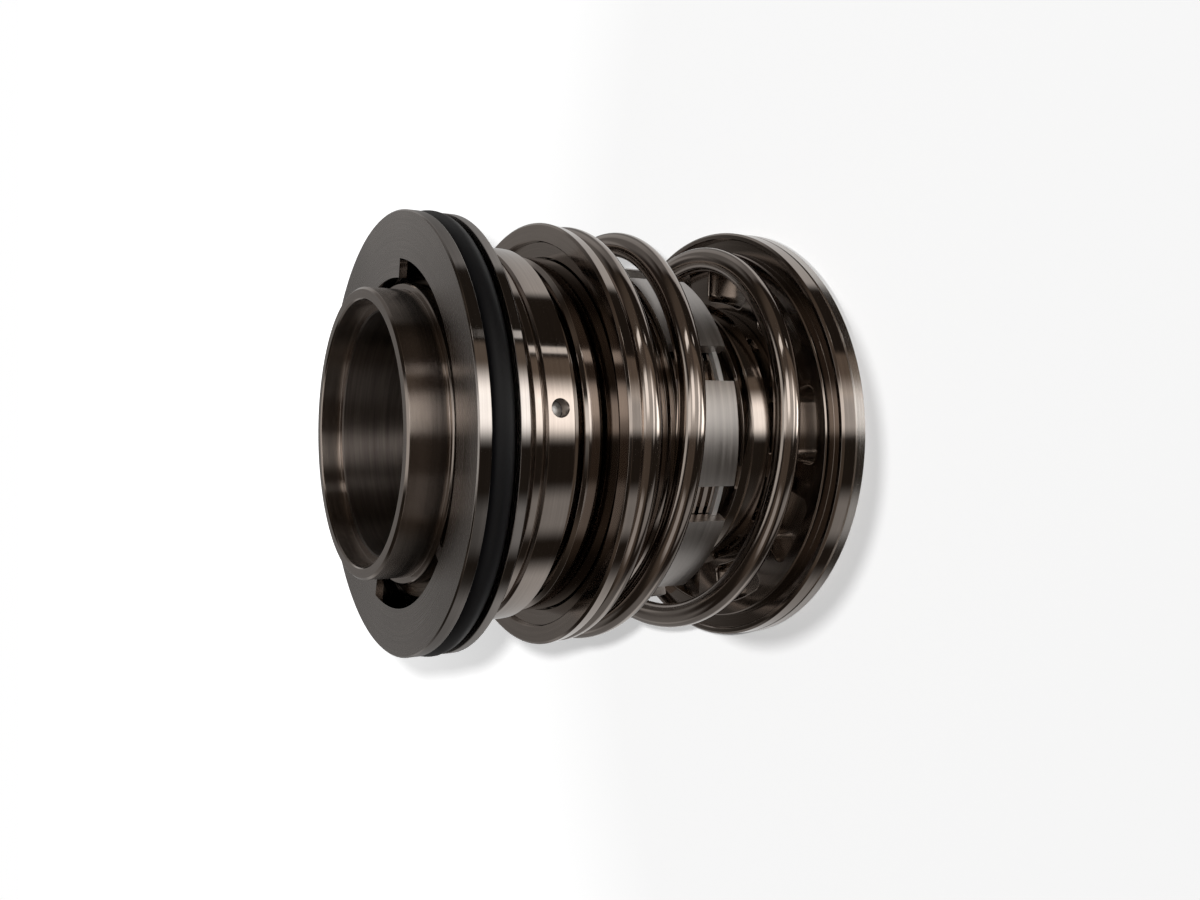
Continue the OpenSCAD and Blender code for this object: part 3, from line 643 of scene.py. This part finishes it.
def turned_metal(name, tint, roughness, pitch, depth, faced=1.0, grain=0.0, cloud=0.05, streak=0.08):
    """Steel with the fine rings that a lathe tool or a polishing belt leaves round the axis.

    Faces across the axis are rougher by the factor faced, and grain stretches reflections across the
    rings.
    """
    material, nodes = new_material(name)
    place = nodes.add("ShaderNodeTexCoord", output=3)
    split = nodes.add("ShaderNodeSeparateXYZ", place).node
    x, y, z = split.outputs
    reach = nodes.math("SQRT", nodes.math("ADD", nodes.math("MULTIPLY", x, x), nodes.math("MULTIPLY", y, y)))
    reach = nodes.math("MAXIMUM", reach, MM)
    wander = 1.6
    ring = nodes.add(
        "ShaderNodeCombineXYZ", nodes.math("DIVIDE", reach, pitch), nodes.math("DIVIDE", z, pitch),
        nodes.math("MULTIPLY", nodes.math("DIVIDE", x, reach), wander),
    )
    around = nodes.math("MULTIPLY", nodes.math("DIVIDE", y, reach), wander)
    marks = nodes.add("ShaderNodeTexNoise", noise_dimensions="4D", Vector=ring, W=around, Scale=1.0,
                      Detail=3.0, Roughness=0.55)
    clouds = nodes.add("ShaderNodeTexNoise", noise_dimensions="3D", Vector=place, Scale=70.0, Detail=3.0)
    shade = nodes.math("MULTIPLY", nodes.ramp(marks, 0.3, 0.7, 1 - streak, 1 + streak, False),
                       nodes.ramp(clouds, 0.3, 0.7, 1 - cloud, 1 + cloud, False))
    toned = nodes.add("ShaderNodeVectorMath", tuple(tint), shade, operation="MULTIPLY")
    rough = nodes.ramp(marks, 0.3, 0.7, 0.85 * roughness, 1.15 * roughness, False)
    if faced != 1.0:
        facing = nodes.add("ShaderNodeSeparateXYZ", nodes.add("ShaderNodeTexCoord", output=1), output=2)
        across = nodes.ramp(nodes.math("ABSOLUTE", facing), 0.7, 0.95, 1.0, faced)
        rough = nodes.math("MULTIPLY", rough, across)
    bump = nodes.add("ShaderNodeBump", Strength=1.0, Distance=depth, Height=marks)
    shader = nodes.add("ShaderNodeBsdfPrincipled", Metallic=1.0, **{"Base Color": toned, "Roughness": rough,
                                                                    "Normal": bump})
    if grain:
        around_axis = nodes.add("ShaderNodeTangent", direction_type="RADIAL", axis="Z")
        nodes.feed(shader.node.inputs["Tangent"], around_axis)
        nodes.feed(shader.node.inputs["Anisotropic"], grain)
        nodes.feed(shader.node.inputs["Anisotropic Rotation"], 0.25)
    nodes.add("ShaderNodeOutputMaterial", shader)
    return material


def rubber(name, tint):
    """Moulded elastomer: matt black with a soft sheen and a fine grain."""
    material, nodes = new_material(name)
    place = nodes.add("ShaderNodeTexCoord", output=3)
    grain = nodes.add("ShaderNodeTexNoise", Vector=place, Scale=5200.0, Detail=2.0)
    clouds = nodes.add("ShaderNodeTexNoise", Vector=place, Scale=55.0, Detail=3.0)
    toned = nodes.add("ShaderNodeVectorMath", tuple(tint), nodes.ramp(clouds, 0.3, 0.7, 0.85, 1.2, False),
                      operation="MULTIPLY")
    rough = nodes.ramp(clouds, 0.3, 0.7, 0.45, 0.55, False)
    bump = nodes.add("ShaderNodeBump", Strength=0.35, Distance=0.00001, Height=grain)
    shader = nodes.add("ShaderNodeBsdfPrincipled", **{"Base Color": toned, "Roughness": rough,
                                                      "Normal": bump, "IOR": 1.36})
    nodes.add("ShaderNodeOutputMaterial", shader)
    return material


def finish(kind):
    """The material of one finish, made on first use."""
    made = bpy.data.materials.get(kind)
    if made:
        return made
    look = bpy.context.scene.seal_finish
    if kind == "moulded_rubber":
        return rubber(kind, look.rubber)
    # Tint, roughness, pitch and depth of the rings in millimetres, and what differs from the usual
    tint, roughness, pitch, depth, special = {
        "polished_plating": (look.plated, look.gloss, 0.5, 0.0003, {"faced": 1.7, "grain": 0.3}),
        "satin_plating": (look.satin, look.gloss, 0.3, 0.0008,
                          {"faced": look.satin_gloss / look.gloss, "grain": 0.8}),
        "turned_nose": (look.plated, 0.22, 0.5, 0.0006, {"grain": 1.0}),
        # The bore's tint is painted shade inside the sleeve; its roughness and grain are the turned finish
        "shaded_turned_bore": (look.bore_with_shade, 0.42, 0.6, 0.002, {"grain": 0.95, "streak": 0.2}),
        "ground_disc": (look.disc, 0.2, 0.3, 0.0006, {"grain": 0.6}),
        "spring_wire": (look.wire, look.gloss * 1.2, 0.9, 0.0003, {}),
        "brushed_tabs": (look.tabs, 0.34, 0.8, 0.003, {"cloud": 0.08, "streak": 0.14}),
        "lapped_ring": (look.carbide, look.gloss, 0.35, 0.0003, {}),
        "bright_steel": (look.bright, 0.2, 0.2, 0.0006, {}),
        "turned_bronze": (look.bronze, 0.28, 0.35, 0.001, {}),
    }[kind]
    return turned_metal(kind, tint, roughness, pitch * MM, depth * MM, **special)


FINISH_OF_SLOT = {
    "dark_steel": "polished_plating",
    "satin_dark_steel": "satin_plating",
    "spring_steel": "spring_wire",
    "satin_steel": "brushed_tabs",
    "bright_steel": "bright_steel",
    "carbide": "lapped_ring",
    "bronze": "turned_bronze",
    "rubber": "moulded_rubber",
}


def slot_finish(node):
    return finish(FINISH_OF_SLOT[SLOT_OF[node]])


class SEAL_OT_sleeve(Operator):
    """Shaft sleeve with its recessed nose, collar and bored pin holes"""

    bl_idname = "seal.sleeve"
    bl_label = "Shaft sleeve"

    def execute(self, context):
        sizes = context.scene.seal_sizes
        outline = section("shaft_sleeve", 40, sizes.edge)
        piece = turned_piece("sleeve", (0, 360, outline))
        screws_low, screws_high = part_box("set_screws")
        pins_low, pins_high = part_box("drive_pins")
        wall_in, wall_out = outline[:, 0].min(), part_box("hub_spacer")[0].x
        screw_z, pin_z = (screws_low.z + screws_high.z) / 2, (pins_low.z + pins_high.z) / 2
        through = round_cutter((screws_high.z - screws_low.z + sizes.port_play) / 2, wall_in - MM, -wall_out)
        blind = round_cutter((pins_high.z - pins_low.z + sizes.port_play) / 2, wall_in + 1.5 * MM, -wall_out)
        cutters = [radial(through, angle, screw_z) for angle in SET_SCREWS]
        cutters += [radial(blind, angle, pin_z) for angle in DRIVE_PINS]
        cut(piece, cutters, outline)
        dressed(piece, finish("polished_plating"), "shaft_sleeve")
        # Faces inside the bore get a darker tint as painted shade, with the rougher turned finish
        piece.data.materials.append(finish("shaded_turned_bore"))
        piece.data.materials.append(finish("turned_nose"))
        wide, collar_z = wall_in + MM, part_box("guide_bush")[1].z
        for face in piece.data.polygons:
            if math.hypot(face.center.x, face.center.y) < wide:
                face.material_index = 1
            elif face.center.z > collar_z and abs(face.normal.z) < 0.5:
                face.material_index = 2
        return {"FINISHED"}


class SEAL_OT_flange(Operator):
    """Flange ring: grooved rim, satin face and a lip that is open over part of its round"""

    bl_idname = "seal.flange"
    bl_label = "Flange ring"

    def execute(self, context):
        sizes = context.scene.seal_sizes
        middles = (180, 0, sum(TOOTH) / 2)
        lip, plain, tooth = (section("flange_ring", angle, sizes.edge) for angle in middles)
        meetings = ((lip, [plain, tooth]), (plain, [lip, tooth]), (tooth, [lip, plain]))
        lip, plain, tooth = (woven(outline, others) for outline, others in meetings)
        piece = turned_piece("flange", (LIP[1] - 360, TOOTH[0], plain), (*TOOTH, tooth),
                             (TOOTH[1], LIP[0], plain), (*LIP, lip))
        dressed(piece, finish("satin_plating"), "flange_ring")
        return {"FINISHED"}


class SEAL_OT_seat(Operator):
    """Seat holder with its ports, and the guide bush"""

    bl_idname = "seal.seat"
    bl_label = "Seat holder"

    def execute(self, context):
        sizes = context.scene.seal_sizes
        outline = section("seat_holder", 60, sizes.edge)
        piece = turned_piece("seat_holder_ring", (0, 360, outline))
        low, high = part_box("antirotation_pins")
        bore = (high.z - low.z + sizes.port_play) / 2
        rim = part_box("seat_holder")[1].x
        height = (low.z + high.z) / 2
        drill = round_cutter(bore, rim - 6 * MM, rim + 2 * MM, 0.16 * MM, rim)
        ports = [math.degrees(sizes.port_at) + 360 / PORTS * i for i in range(PORTS)]
        cut(piece, [radial(drill, angle, height) for angle in ports], outline)
        dressed(piece, finish("polished_plating"), "seat_holder")
        bush = turned_piece("bush", (0, 360, section("guide_bush", 60, sizes.fine_edge)))
        dressed(bush, slot_finish("guide_bush"), "guide_bush")
        return {"FINISHED"}


class SEAL_OT_oring(Operator):
    """O-ring in the flange groove"""

    bl_idname = "seal.oring"
    bl_label = "Flange O-ring"

    def execute(self, context):
        low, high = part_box("flange_oring")
        cord = (high.z - low.z) / 2
        outer = max(high.x, high.y, -low.x, -low.y)
        outline = circle_outline(outer - cord, cord, (low.z + high.z) / 2)
        piece = turned_piece("flange_cord", (0, 360, outline))
        dressed(piece, finish("moulded_rubber"), "flange_oring")
        return {"FINISHED"}


class SEAL_OT_rotary(Operator):
    """Rotary seal ring and the cup that carries it"""

    bl_idname = "seal.rotary"
    bl_label = "Rotary ring and cup"

    def execute(self, context):
        sizes = context.scene.seal_sizes
        ring = turned_piece("rotary", (0, 360, section("rotary_ring", 60, sizes.edge)))
        dressed(ring, slot_finish("rotary_ring"), "rotary_ring")
        cup = turned_piece("cup", (0, 360, section("head_cup", 60, sizes.edge)))
        dressed(cup, finish("polished_plating"), "head_cup")
        return {"FINISHED"}


class SEAL_OT_crown(Operator):
    """Drive crown with its eight tabs"""

    bl_idname = "seal.crown"
    bl_label = "Drive crown"

    def execute(self, context):
        sizes = context.scene.seal_sizes
        step = 360 / TABS
        tab, gap = (section("drive_crown", angle, sizes.fine_edge) for angle in (0, step / 2))
        tab, gap = woven(tab, [gap]), woven(gap, [tab])
        stretches = []
        for i in range(TABS):
            start, end = step * i - TAB_HALF, step * i + TAB_HALF
            stretches += [(start, end, tab), (end, start + step, gap)]
        piece = turned_piece("crown", *stretches)
        dressed(piece, slot_finish("drive_crown"), "drive_crown")
        piece.data.materials.append(finish("polished_plating"))
        slot_top = min(row[1] for row in gap)
        for face in piece.data.polygons:
            if face.center.z > slot_top + 0.2 * MM:
                face.material_index = 1
        return {"FINISHED"}


class SEAL_OT_hub(Operator):
    """Stop ring, lock collar and spacer behind the crown"""

    bl_idname = "seal.hub"
    bl_label = "Hub rings"

    def execute(self, context):
        sizes = context.scene.seal_sizes
        for name, node in (("stop", "stop_ring"), ("spacer", "hub_spacer")):
            piece = turned_piece(name, (0, 360, section(node, 60, sizes.edge)))
            dressed(piece, finish("polished_plating"), node)
        outline = section("lock_collar", 60, sizes.edge)
        collar = turned_piece("collar", (0, 360, outline))
        low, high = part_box("set_screws")
        drill = round_cutter((high.z - low.z + sizes.port_play) / 2, outline[:, 0].min() - MM,
                             outline[:, 0].max() + MM)
        cut(collar, [radial(drill, angle, (low.z + high.z) / 2) for angle in SET_SCREWS], outline)
        dressed(collar, finish("polished_plating"), "lock_collar")
        return {"FINISHED"}


class SEAL_OT_spring(Operator):
    """Coil spring, built in one shape from the CAD spring's box"""

    bl_idname = "seal.spring"
    bl_label = "Spring"

    def execute(self, context):
        piece = coil_piece("spring", context.scene.seal_sizes)
        dressed(piece, slot_finish("main_spring"), "main_spring")
        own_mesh(piece)
        return {"FINISHED"}


class SEAL_OT_plate(Operator):
    """Spring plate with its windows, and the rear disc behind it"""

    bl_idname = "seal.plate"
    bl_label = "Spring plate and rear disc"

    def execute(self, context):
        sizes = context.scene.seal_sizes
        spoke = math.degrees(sizes.spoke_at)
        step = 360 / sizes.windows
        plate = section("spring_plate", spoke + step, sizes.edge)
        low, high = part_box("spring_plate")
        piece = turned_piece("plate", (0, 360, plate))
        cutters = [window_cutter(sizes, spoke + (i + 0.5) * step, low.z - MM, high.z, 0.4 * MM)
                   for i in range(sizes.windows)]
        cut(piece, cutters, plate)
        dressed(piece, finish("polished_plating"), "spring_plate")
        disc = section("rear_disc", spoke + step, sizes.edge)
        low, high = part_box("rear_disc")
        piece = turned_piece("disc", (0, 360, disc))
        bolt_circle = (sizes.window_inner + sizes.window_outer) / 2
        play = sizes.port_play / 2
        hole = round_cutter(sizes.screw / 2 + play, low.z - MM, high.z + MM)
        sink = round_cutter(sizes.screw + play, low.z - MM, low.z + 0.6 * sizes.screw)
        screws = [spoke + i * step for i in range(0, sizes.windows, 2)]
        for cutter in (hole, sink):
            cut(piece, [standing(cutter, angle, bolt_circle) for angle in screws], disc)
        dressed(piece, finish("ground_disc"), "rear_disc")
        return {"FINISHED"}


class SEAL_OT_inner_finish(Operator):
    """Finishes of the CAD pieces that show as they are"""

    bl_idname = "seal.inner_finish"
    bl_label = "Inner pieces"

    def execute(self, context):
        for name, node in frame["nodes"].items():
            if not node.hide_render:
                node.data.materials.clear()
                node.data.materials.append(slot_finish(name))
        return {"FINISHED"}


class SEAL_OT_studio(Operator):
    """Pale floor, key light, surroundings and the camera"""

    bl_idname = "seal.studio"
    bl_label = "Studio"

    def execute(self, context):
        studio = context.scene.seal_studio
        add_floor(studio)
        add_key_light(studio)
        add_surroundings(context.scene, studio)
        add_camera(context.scene, studio)
        context.scene.view_settings.view_transform = "Standard"
        return {"FINISHED"}


def add_floor(studio):
    """Pale floor, evened out for the camera so that it is white wherever no shadow falls."""
    half = studio.floor / 2
    level = cad_box[0][2] - 0.02 * MM
    floor = mesh_piece("floor", [(-half, -half, level), (half, -half, level), (half, half, level),
                                 (-half, half, level)], [[0, 1, 2, 3]])
    material, nodes = new_material("pale_floor")
    lamp = camera_place(studio)
    away = nodes.add("ShaderNodeVectorMath", nodes.add("ShaderNodeNewGeometry"), tuple(lamp),
                     operation="DISTANCE", output=1)
    share_away = nodes.math("DIVIDE", away, studio.white_at)
    seen = nodes.add("ShaderNodeLightPath").node.outputs["Is Camera Ray"]
    lift = nodes.add("ShaderNodeMix", seen, data_type="FLOAT")
    lift.node.inputs[2].default_value = studio.floor_tone
    nodes.feed(lift.node.inputs[3], share_away)
    nearness = nodes.math("SUBTRACT", 1.0, share_away)
    glow = nodes.math("MAXIMUM", nodes.math("MULTIPLY", nearness, studio.near_glow), 0.0)
    shader = nodes.add("ShaderNodeAddShader", nodes.add("ShaderNodeBsdfDiffuse", lift),
                       nodes.add("ShaderNodeEmission", (1, 1, 1, 1), nodes.math("MULTIPLY", glow, seen)))
    nodes.add("ShaderNodeOutputMaterial", shader)
    floor.data.materials.append(material)
    floor.visible_glossy = False


def add_lamp(name, kind, strength, **settings):
    light = bpy.data.lights.new(name, kind)
    light.energy = strength
    for key, value in settings.items():
        setattr(light, key, value)
    lamp = bpy.data.objects.new(name, light)
    bpy.context.scene.collection.objects.link(lamp)
    lamp.visible_glossy = False
    return lamp


def add_key_light(studio):
    """A lamp beside the camera that doesn't fade with distance, and a soft light from above."""
    right, _, up = camera_ways(studio)
    flash = add_lamp("flash", "POINT", studio.flash, shadow_soft_size=studio.flash_size)
    flash.location = camera_place(studio) + (up - right) * studio.flash_aside
    flash.data.use_nodes = True
    nodes = Nodes(flash.data.node_tree)
    even = nodes.add("ShaderNodeLightFalloff", 1.0, output=2)
    nodes.add("ShaderNodeOutputLight", nodes.add("ShaderNodeEmission", (1, 1, 1, 1), even))
    top = add_lamp("top", "SUN", studio.sun, angle=math.radians(3))
    top.rotation_euler = Vector((0.06, 0.08, 1)).to_track_quat("Z", "Y").to_euler()


def add_surroundings(scene, studio):
    """White room for the camera, softboxes for reflections, and an even fill for the rest."""
    world = bpy.data.worlds.new("studio")
    world.use_nodes = True
    world.cycles.sampling_method = "NONE"
    scene.world = world
    nodes = Nodes(world.node_tree)
    direction = nodes.add("ShaderNodeTexCoord", output=0)
    x, y, z = nodes.add("ShaderNodeSeparateXYZ", direction).node.outputs
    azimuth = nodes.math("ARCTAN2", x, nodes.math("MULTIPLY", y, -1.0))
    height = nodes.math("ARCSINE", z)
    total = None
    for azimuths, heights, fades, strength, tint in SOFTBOXES:
        part = softbox(nodes, azimuth, height, azimuths, heights, fades)
        lit = tuple(strength * t for t in tint)
        light = nodes.add("ShaderNodeVectorMath", lit, part, operation="MULTIPLY")
        total = light if total is None else nodes.add("ShaderNodeVectorMath", total, light, operation="ADD")
    seen = nodes.add("ShaderNodeLightPath").node
    gloss = nodes.add("ShaderNodeMix", seen.outputs["Is Glossy Ray"], data_type="RGBA", output=2)
    gloss.node.inputs[6].default_value = (studio.fill, studio.fill, studio.fill, 1.0)
    nodes.feed(gloss.node.inputs[7], total)
    shown = nodes.add("ShaderNodeMix", data_type="RGBA", output=2)
    nodes.feed(shown.node.inputs[0], nodes.math("MAXIMUM", seen.outputs["Is Camera Ray"],
                                                seen.outputs["Is Transmission Ray"]))
    nodes.feed(shown.node.inputs[6], gloss)
    shown.node.inputs[7].default_value = (1.0, 1.0, 1.0, 1.0)
    background = nodes.add("ShaderNodeBackground", shown)
    nodes.add("ShaderNodeOutputWorld", background)


def softbox(nodes, azimuth, height, azimuths, heights, fades):
    """Light that fills a span of directions and fades at its four sides."""
    middle = math.radians(sum(azimuths) / 2)
    half = math.radians(azimuths[1] - azimuths[0]) / 2
    low_fade, high_fade, bottom_fade, top_fade = (math.radians(max(fade, 0.2)) for fade in fades)
    turn = nodes.math("WRAP", nodes.math("SUBTRACT", azimuth, middle), math.pi, -math.pi)
    rise = nodes.ramp(turn, -half - low_fade, -half, 0.0, 1.0)
    fall = nodes.ramp(turn, half, half + high_fade, 1.0, 0.0)
    low, high = (math.radians(value) for value in heights)
    bottom = nodes.ramp(height, low - bottom_fade, low, 0.0, 1.0)
    top = nodes.ramp(height, high, high + top_fade, 1.0, 0.0)
    return nodes.math("MULTIPLY", nodes.math("MULTIPLY", rise, fall), nodes.math("MULTIPLY", bottom, top))


WHITE = (1.0, 0.985, 0.965)
NEUTRAL = (1.0, 1.0, 1.0)
WARM = (1.0, 0.80, 0.64)

# Azimuth span, height span, fades (at its low and high azimuth, below and above), strength and tint
SOFTBOXES = [
    ((-180, 180), (-90, 90), (1, 1, 1, 1), 0.03, WARM),
    ((9, 18), (-28, -23), (17, 19, 6, 6), 2.2, WHITE),
    ((5, 19), (-66, 62), (9, 16, 8, 8), 0.8, WHITE),
    ((4, 20), (-80, -56), (8, 12, 4, 6), 3.3, WHITE),
    ((4, 22), (46, 60), (8, 12, 5, 5), 0.7, WHITE),
    ((14, 28), (14, 30), (10, 8, 5, 6), 1.5, WHITE),
    ((49.5, 52.5), (-31, -25.5), (1.2, 1.2, 2, 1.5), 1.4, WHITE),
    ((47, 53), (12, 30), (2, 2, 4, 6), 1.8, WHITE),
    ((24, 44), (-60, -10), (8, 4, 10, 10), 0.2, WARM),
    ((-55, -42), (-60, -26), (14, 14, 8, 4), 0.4, NEUTRAL),
    ((-60, -37), (12, 30), (14, 10, 6, 6), 0.5, NEUTRAL),
    ((96, 182), (-60, -27), (8, 20, 7, 7), 0.72, NEUTRAL),
    ((190, 262), (-36, -27), (12, 20, 7, 7), 0.66, NEUTRAL),
    ((190, 262), (-70, -44), (12, 20, 7, 7), 0.25, NEUTRAL),
    ((96, 262), (-18, 8), (8, 30, 8, 8), 0.22, NEUTRAL),
    ((118, 160), (-6, 30), (22, 14, 10, 10), 0.2, NEUTRAL),
    ((160, 225), (8, 30), (12, 20, 8, 8), 0.2, NEUTRAL),
    ((-70, 70), (-2, 45), (30, 30, 8, 8), 0.1, WARM),
    ((-180, 180), (66, 90), (1, 1, 8, 1), 0.8, WHITE),
]


def camera_ways(studio):
    """The camera's right, ahead and up."""
    right = Vector((0, -math.cos(studio.tilt), -math.sin(studio.tilt)))
    ahead = Vector((0, math.sin(studio.tilt), -math.cos(studio.tilt)))
    return right, ahead, Vector((1, 0, 0))


def camera_place(studio):
    right, ahead, _ = camera_ways(studio)
    target = Vector((0, 0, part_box("flange_ring")[1].z))
    return target + right * studio.offset - ahead * studio.distance


def add_camera(scene, studio):
    data = bpy.data.cameras.new("camera")
    data.sensor_width = 36.0
    data.lens = studio.lens
    data.shift_y = studio.rise
    data.clip_start = 0.01
    data.clip_end = 50.0
    camera = bpy.data.objects.new("camera", data)
    scene.collection.objects.link(camera)
    right, ahead, up = camera_ways(studio)
    place = camera_place(studio)
    camera.matrix_world = Matrix([
        [right.x, up.x, -ahead.x, place.x],
        [right.y, up.y, -ahead.y, place.y],
        [right.z, up.z, -ahead.z, place.z],
        [0, 0, 0, 1],
    ])
    scene.camera = camera


class SEAL_PT_panel(Panel):
    """Lists the operators that make the seal"""

    bl_label = "Mechanical Seal"
    bl_idname = "SEAL_PT_panel"
    bl_space_type = "VIEW_3D"
    bl_region_type = "UI"
    bl_category = "Seal"

    def draw(self, context):
        for operator in OPERATORS:
            self.layout.operator(operator.bl_idname)
        for group in (context.scene.seal_sizes, context.scene.seal_finish, context.scene.seal_studio):
            for name in type(group).__annotations__:
                self.layout.prop(group, name)


OPERATORS = (
    SEAL_OT_sleeve,
    SEAL_OT_flange,
    SEAL_OT_seat,
    SEAL_OT_oring,
    SEAL_OT_rotary,
    SEAL_OT_crown,
    SEAL_OT_hub,
    SEAL_OT_spring,
    SEAL_OT_plate,
    SEAL_OT_inner_finish,
    SEAL_OT_studio,
)
GROUPS = (SealSizes, SealFinish, SealStudio)


def register():
    for kind in (*GROUPS, *OPERATORS, SEAL_PT_panel):
        bpy.utils.register_class(kind)
    bpy.types.Scene.seal_sizes = PointerProperty(type=SealSizes)
    bpy.types.Scene.seal_finish = PointerProperty(type=SealFinish)
    bpy.types.Scene.seal_studio = PointerProperty(type=SealStudio)


def unregister():
    del bpy.types.Scene.seal_sizes
    del bpy.types.Scene.seal_finish
    del bpy.types.Scene.seal_studio
    for kind in (SEAL_PT_panel, *reversed(OPERATORS), *reversed(GROUPS)):
        bpy.utils.unregister_class(kind)


def main():
    register()
    for operator in OPERATORS:
        group, name = operator.bl_idname.split(".")
        getattr(getattr(bpy.ops, group), name)()


if __name__ == "__main__":
    main()
